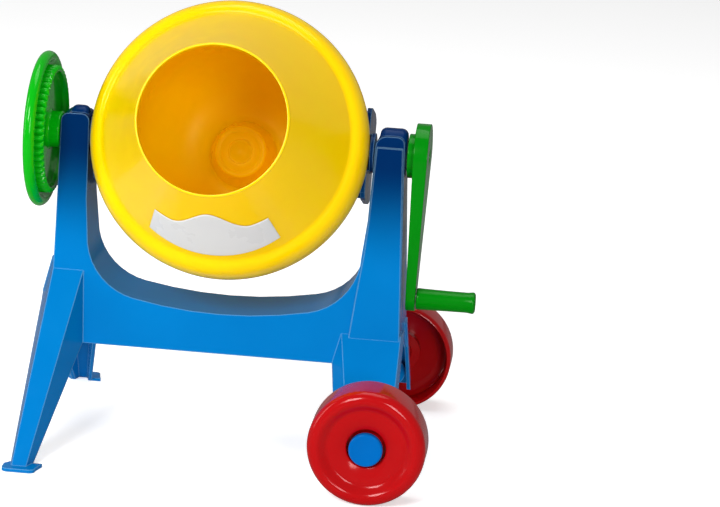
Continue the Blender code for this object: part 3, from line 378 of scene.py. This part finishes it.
def drum_badge():
    """The plain plate on the lower side of the drum's cone, with an arched top and soft edges."""
    low, top = Vector(CREASE), Vector((MOUTH_R + 2.6 * MM, MOUTH_Z - 2.6 * MM))
    run = (top - low).normalized()
    out = Vector((run.y, -run.x))
    columns, rows = 72, 24
    body = bmesh.new()
    grid = []
    for i in range(columns + 1):
        across = -math.cos(math.pi * i / columns)
        bump = 0.5 + 0.5 * math.cos(math.pi * min(1.0, abs(across) / 0.72))
        bottom = BADGE_LOW + BADGE_LOW_CURVE * across ** 2
        crown = BADGE_CROWN + BADGE_ARCH * bump
        column = []
        for j in range(rows + 1):
            share = 0.5 - 0.5 * math.cos(math.pi * j / rows)
            z = bottom + (crown - bottom) * share
            radius = low.x + (z - low.y) * run.x / run.y
            inside = min((1 - abs(across)) * BADGE_HALF * radius, (crown - bottom) * min(share, 1 - share))
            lift = out * (0.37 * MM + 0.42 * MM * math.sqrt(min(1.0, inside / (0.9 * MM))))
            angle = -math.pi / 2 + BADGE_HALF * across
            radius, z = radius + lift.x, z + lift.y
            column.append(body.verts.new((radius * math.cos(angle), radius * math.sin(angle), z)))
        grid.append(column)
    for i in range(columns):
        for j in range(rows):
            body.faces.new((grid[i][j], grid[i + 1][j], grid[i + 1][j + 1], grid[i][j + 1]))
    bmesh.ops.recalc_face_normals(body, faces=body.faces)
    bmesh.ops.transform(body, matrix=DRUM_SPACE, verts=body.verts)
    outward = sum(face.normal.dot(face.calc_center_median() - PIVOT) for face in body.faces)
    if outward < 0:
        bmesh.ops.reverse_faces(body, faces=body.faces)
    mesh = bpy.data.meshes.new("drum_badge_skin")
    body.to_mesh(mesh)
    body.free()
    mesh.shade_smooth()
    item = put("drum_badge_skin", mesh, "drum", BADGE, "white_plastic", "drum_badge")
    thick = item.modifiers.new("Plate", "SOLIDIFY")
    thick.thickness = 0.3 * MM
    thick.offset = -1.0
    return item


# ---------------------------------------------------------------- wheels, hand wheel, knob

def along_x(x, centre):
    """A frame whose Z runs along +X through a point of the tilt axis or the knob's pin."""
    return Matrix.Translation((x, centre[1], centre[2])) @ Matrix.Rotation(math.pi / 2, 4, "Y")


def hand_wheel():
    """Dish with a rounded rim, a scalloped grip ring and a hub."""
    rim_r, rim_bend = 53.1 * MM, 3.9 * MM
    dish, hub_r, hub_end, socket_r = 7.6 * MM, 12.5 * MM, 16.6 * MM, 5.6 * MM
    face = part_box("hand_wheel")[0].x
    rim = arc((rim_r - rim_bend, rim_bend), rim_bend, -120, 120, 22)
    profile = [(3.0 * MM, 3.4 * MM), (11.0 * MM, 3.4 * MM), (12.0 * MM, 5.2 * MM), (36.0 * MM, 5.2 * MM),
               (39.0 * MM, 2.6 * MM), (44.5 * MM, 2.6 * MM)] + rim
    profile += [(45.2 * MM, 4.9 * MM), (41.5 * MM, 4.9 * MM), (41.0 * MM, dish), (13.9 * MM, dish),
                (hub_r, dish + 1.4 * MM), (hub_r, hub_end - 0.8 * MM), (11.7 * MM, hub_end),
                (socket_r, hub_end), (socket_r, 6.4 * MM), (3.0 * MM, 6.4 * MM)]
    mesh = lathe("hand_wheel_skin", rounded(profile, 0.7 * MM), along_x(face, PIVOT), 144, sharp=60)
    dish_item = put("hand_wheel_skin", mesh, "yoke", GREEN_PAINTED_LIGHT, "green_plastic", "hand_wheel")
    ridges, per = 54, 8
    cut, swell, drop, ridge_from = 1.7, 2.4, 1.2, 9
    section = [(39.2, 3.6, 0), (39.2, 10.9, 0), (39.7, 12.0, 0), (40.6, 12.35, 0), (41.8, 12.0, 1),
               (42.8, 10.9, 1), (43.1, 9.6, 1), (43.1, 3.6, 1)]
    body = bmesh.new()
    loops = []
    for k in range(ridges * per):
        turn = 2 * math.pi * k / (ridges * per)
        ridge = abs(math.cos(ridges * turn / 2))
        ring = []
        for r, z, ridged in section:
            radius = (r - ridged * (cut - swell * ridge)) * MM
            lift = (z - ridged * (1 - ridge) * drop * (z > ridge_from)) * MM
            ring.append(body.verts.new((radius * math.cos(turn), radius * math.sin(turn), lift)))
        loops.append(ring)
    for k, ring in enumerate(loops):
        after = loops[(k + 1) % len(loops)]
        for i in range(len(section)):
            j = (i + 1) % len(section)
            body.faces.new((ring[i], after[i], after[j], ring[j]))
    bmesh.ops.recalc_face_normals(body, faces=body.faces)
    bmesh.ops.transform(body, matrix=along_x(face, PIVOT), verts=body.verts)
    mesh = bpy.data.meshes.new("hand_grip_ring")
    body.to_mesh(mesh)
    body.free()
    mesh.shade_smooth()
    mesh.set_sharp_from_angle(angle=math.radians(60))
    put("hand_grip_ring", mesh, "yoke", GREEN_PAINTED_LIGHT, "green_plastic")
    return dish_item


def knob():
    """Knob: a slightly waisted grip with a stepped, rounded end, on the pin."""
    low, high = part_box("crank_knob")
    axis = (0.0, JOINTS["knob_spin"]["pos_m"][1], JOINTS["knob_spin"]["pos_m"][2])
    long = high.x - low.x
    profile = [(3.3, long / MM - 4.0), (5.7, long / MM - 4.0), (5.7, long / MM - 1.0), (6.0, long / MM - 0.2)]
    profile = [(r * MM, z * MM) for r, z in profile]
    profile += arc((6.2 * MM, long - 1.9 * MM), 1.2 * MM, 75, 0, 5)
    for step in range(1, 12):
        share = step / 12
        profile.append(((6.9 + 0.5 * share ** 2) * MM, (long - 4 * MM) * (1 - share) + 1.0 * MM))
    profile += [(7.4 * MM, 0.9 * MM), (7.0 * MM, 0.1 * MM), (3.3 * MM, 0.1 * MM)]
    mesh = lathe("crank_knob_skin", rounded(profile, 0.4 * MM), along_x(low.x, axis), 96, sharp=60)
    return put("crank_knob_skin", mesh, "knob", GREEN, "green_plastic", "crank_knob")


def road_wheel(label, side):
    """Road wheel with a dished face and a hollow back, and its hub cap."""
    low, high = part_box(f"wheel_{label}")
    middle = (low + high) / 2
    face = low.y if side < 0 else high.y
    space = Matrix.Translation((middle.x, face, middle.z)) @ Matrix.Rotation(math.pi / 2 * side, 4, "X")
    r, w = (high.x - low.x) / 2 - 0.05 * MM, high.y - low.y
    bend, dish, hub_r, bore = 6.4 * MM, 4.6 * MM, 13.0 * MM, 4.3 * MM
    crest = arc((r - bend, bend), bend, 0, -90, 16, bend)
    profile = [(r, w - 3.0 * MM)] + crest
    for step in range(1, 13):
        share = step / 12
        fall = share * share * (3 - 2 * share)
        profile.append(((32.6 - 8.2 * share) * MM, dish * fall))
    profile += [(13.9 * MM, dish), (hub_r, 5.4 * MM), (hub_r, 13.0 * MM),
                (bore, 13.0 * MM), (bore, w), (8.6 * MM, w), (9.6 * MM, 16.0 * MM),
                (15.2 * MM, 15.0 * MM), (15.2 * MM, 7.8 * MM), (27.0 * MM, 7.8 * MM),
                (r - bend, 8.2 * MM), (r - 3.4 * MM, 11.0 * MM), (r - 3.2 * MM, w - 0.8 * MM),
                (r - 2.6 * MM, w)]
    profile += arc((r - 3.0 * MM, w - 3.0 * MM), 3.0 * MM, 75, 15, 6)
    mesh = lathe(f"wheel_{label}_skin", profile, space, 144, sharp=45)
    put(f"wheel_{label}_skin", mesh, f"{label}_wheel", RED, "red_plastic", f"wheel_{label}")
    cap_r, stem_r, stem_end, under, top = 11.2 * MM, 7.2 * MM, 12.0 * MM, 4.4 * MM, 0.5 * MM
    cap = [(0.0, 2.8 * MM), (bore, 2.8 * MM), (bore, stem_end), (stem_r, stem_end),
           (stem_r, under), (cap_r, under)]
    cap += arc((cap_r - 1.4 * MM, top + 1.4 * MM), 1.4 * MM, 0, -75, 8)
    cap += [(cap_r - 2.2 * MM, top + 0.1 * MM), (cap_r - 3.0 * MM, top + 0.35 * MM), (0.0, top + 0.45 * MM)]
    mesh = lathe(f"hub_cap_{label}_skin", cap, space, 96, closed=False, sharp=50)
    put(f"hub_cap_{label}_skin", mesh, "stand", CAP, "blue_plastic", f"hub_cap_{label}")


# ---------------------------------------------------------------- object

drum_front()
drum_rear()
drum_badge()
hand_wheel()
knob()
road_wheel("front", -1)
road_wheel("rear", 1)
refined("frame", "stand", 0.9 * MM, BLUE, "blue_plastic")
refined("yoke", "yoke", 0.6 * MM, BLUE, "blue_plastic")
refined("crank_arm", "crank", 0.6 * MM, GREEN, "green_plastic")

KEPT = {"crown_gear": YELLOW, "drum_axle": PALE, "axle_washer": STEEL, "axle_screw": STEEL,
        "hand_screw": STEEL, "crank_shaft": PALE, "crank_pinion": PALE, "knob_pin": STEEL,
        "crank_screw": STEEL, "trunnion_bush_left": PALE, "trunnion_bush_right": PALE, "wheel_axle": STEEL}
for node, finish in KEPT.items():
    mesh = frame["nodes"][node].data
    mesh.materials.clear()
    mesh.materials.append(finish)


# ---------------------------------------------------------------- studio

def floor():
    """White ground, lit a little for the camera alone and darker in reflections."""
    made = bpy.data.materials.new("studio_floor")
    made.use_nodes = True
    nodes, links = made.node_tree.nodes, made.node_tree.links
    shader = nodes["Principled BSDF"]
    shader.inputs["Roughness"].default_value = 0.9
    shader.inputs["Specular IOR Level"].default_value = 0.0
    place = nodes.new("ShaderNodeTexCoord")
    noise = nodes.new("ShaderNodeTexNoise")
    noise.inputs["Scale"].default_value = 3.0
    tone = nodes.new("ShaderNodeValToRGB")
    tone.color_ramp.elements[0].color = (0.93, 0.93, 0.93, 1)
    tone.color_ramp.elements[1].color = (0.95, 0.95, 0.95, 1)
    links.new(place.outputs["Object"], noise.inputs["Vector"])
    links.new(noise.outputs["Fac"], tone.inputs["Fac"])
    shader.inputs["Emission Color"].default_value = (1, 1, 1, 1)
    path = nodes.new("ShaderNodeLightPath")
    dim = nodes.new("ShaderNodeMixRGB")
    dim.inputs["Color2"].default_value = (0.3, 0.3, 0.3, 1)
    links.new(path.outputs["Is Glossy Ray"], dim.inputs["Fac"])
    links.new(tone.outputs["Color"], dim.inputs["Color1"])
    links.new(dim.outputs["Color"], shader.inputs["Base Color"])
    strength = nodes.new("ShaderNodeMath")
    strength.operation = "MULTIPLY"
    strength.inputs[1].default_value = 0.5
    links.new(path.outputs["Is Camera Ray"], strength.inputs[0])
    links.new(strength.outputs["Value"], shader.inputs["Emission Strength"])
    mesh = bpy.data.meshes.new("studio_floor")
    body = bmesh.new()
    bmesh.ops.create_grid(body, x_segments=4, y_segments=4, size=30.0)
    body.to_mesh(mesh)
    body.free()
    mesh.materials.append(made)
    item = bpy.data.objects.new("studio_floor", mesh)
    item.location.z = -0.0002
    bpy.context.scene.collection.objects.link(item)


def world(ambient, mirrored):
    """White to the camera, with one strength as ambient light and another in reflections."""
    made = bpy.data.worlds.new("studio")
    made.use_nodes = True
    nodes, links = made.node_tree.nodes, made.node_tree.links
    back = nodes["Background"]
    back.inputs["Color"].default_value = (1, 1, 1, 1)
    path = nodes.new("ShaderNodeLightPath")
    glossy = nodes.new("ShaderNodeMapRange")
    glossy.inputs["To Min"].default_value = ambient
    glossy.inputs["To Max"].default_value = mirrored
    links.new(path.outputs["Is Glossy Ray"], glossy.inputs["Value"])
    seen = nodes.new("ShaderNodeMath")
    seen.operation = "MAXIMUM"
    links.new(path.outputs["Is Camera Ray"], seen.inputs[0])
    links.new(glossy.outputs["Result"], seen.inputs[1])
    links.new(seen.outputs["Value"], back.inputs["Strength"])
    bpy.context.scene.world = made


def area(name, place, target, size, power):
    """A rectangular light at a place, aimed at a target."""
    light = bpy.data.lights.new(name, "AREA")
    light.shape = "RECTANGLE"
    light.size, light.size_y = size
    light.energy = power
    item = bpy.data.objects.new(name, light)
    item.location = place
    item.rotation_mode = "QUATERNION"
    item.rotation_quaternion = (Vector(target) - Vector(place)).to_track_quat("-Z", "Y")
    bpy.context.scene.collection.objects.link(item)


def camera():
    """The photograph's view, fitted to outlines of the drum, the wheels and the stand."""
    yaw, pitch, roll = math.radians(5.50), math.radians(14.81), math.radians(3.12)
    place = (0.24537, -1.80459, 0.61787)
    ahead = Vector((-math.sin(yaw) * math.cos(pitch), math.cos(yaw) * math.cos(pitch), -math.sin(pitch)))
    right = Vector((math.cos(yaw), math.sin(yaw), 0))
    up = right.cross(ahead)
    right_r = right * math.cos(roll) + up * math.sin(roll)
    up_r = up * math.cos(roll) - right * math.sin(roll)
    lens = bpy.data.cameras.new("studio_camera")
    lens.lens = 137.5
    lens.sensor_width = 36.0
    lens.clip_end = 60.0
    item = bpy.data.objects.new("studio_camera", lens)
    turn = Matrix((right_r, up_r, -ahead)).transposed()
    item.matrix_world = Matrix.Translation(place) @ turn.to_4x4()
    bpy.context.scene.collection.objects.link(item)
    bpy.context.scene.camera = item


floor()
world(0.22, 0.3)
area("key", (-0.8, -2.1, 1.5), (0, 0, 0.18), (0.8, 0.8), 42)
area("front", (0.8, -2.2, 0.8), (0, 0, 0.2), (0.5, 0.9), 21)
area("left", (-1.7, -0.4, 0.7), (0, 0, 0.15), (0.3, 1.2), 9)
area("top", (0.1, 0.2, 2.0), (0, 0, 0.1), (1.4, 1.0), 14)
camera()
bpy.context.scene.view_settings.view_transform = "Standard"
